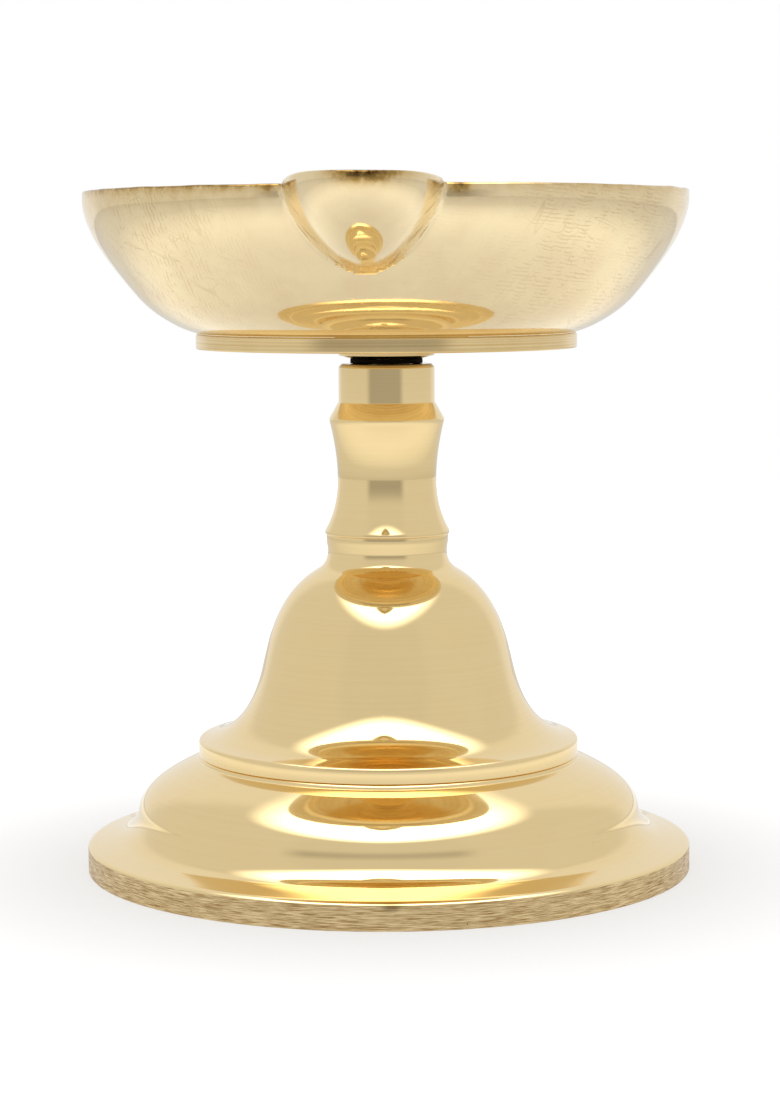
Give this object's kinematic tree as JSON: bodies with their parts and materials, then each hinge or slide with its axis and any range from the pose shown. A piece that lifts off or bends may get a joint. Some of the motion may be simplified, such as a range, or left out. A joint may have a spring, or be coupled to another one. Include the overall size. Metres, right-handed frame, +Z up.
{
  "type": "brass oil lamp",
  "caption": "Turned brass oil lamp: a shallow oil bowl with one wick spout screws on a baluster stem that stands on a bell and a wide stepped foot.",
  "frame": {"origin": "middle of the bounding box, on the surface that the lamp stands on; the turning axis is 6 mm behind it, at y = +0.006, because the spout reaches further than the foot", "axes": "+Z up along the turning axis, -Y the way the wick spout points, +X to the right seen from the spout's side"},
  "size_m": [0.09, 0.102, 0.1017],
  "materials": {
    "filed_brass": "cast, hand filed and buffed, semi-gloss",
    "turned_brass": "lathe turned, fine rings",
    "polished_brass": "mirror polished",
    "brushed_brass": "polished, with a coarse brushed edge band",
    "black_rubber": "matt",
    "zinc_steel": "zinc plated"
  },
  "bodies": {
    "stand": {"base_foot": "brushed_brass", "base_bell": "polished_brass", "stem": "polished_brass", "tie_rod": "zinc_steel", "base_washer": "zinc_steel", "base_nut": "zinc_steel"},
    "washer": {"seat_washer": "black_rubber"},
    "bowl": {"oil_bowl": "filed_brass", "foot_disc": "turned_brass", "bowl_stud": "turned_brass"}
  },
  "joints": [
    {"name": "bowl_rise", "type": "slide", "parent": "stand", "child": "washer", "axis": [0, 0, 1], "range_m": [0, 0.0095]},
    {"name": "bowl_turn", "type": "hinge", "parent": "washer", "child": "bowl", "pos_m": [0, 0.006, 0.0758], "axis": [0, 0, 1], "range_deg": [0, 2736]}
  ],
  "couplings": [
    {"joint": "bowl_rise", "follows": "bowl_turn", "m_per_rad": 0.00019894}
  ]
}
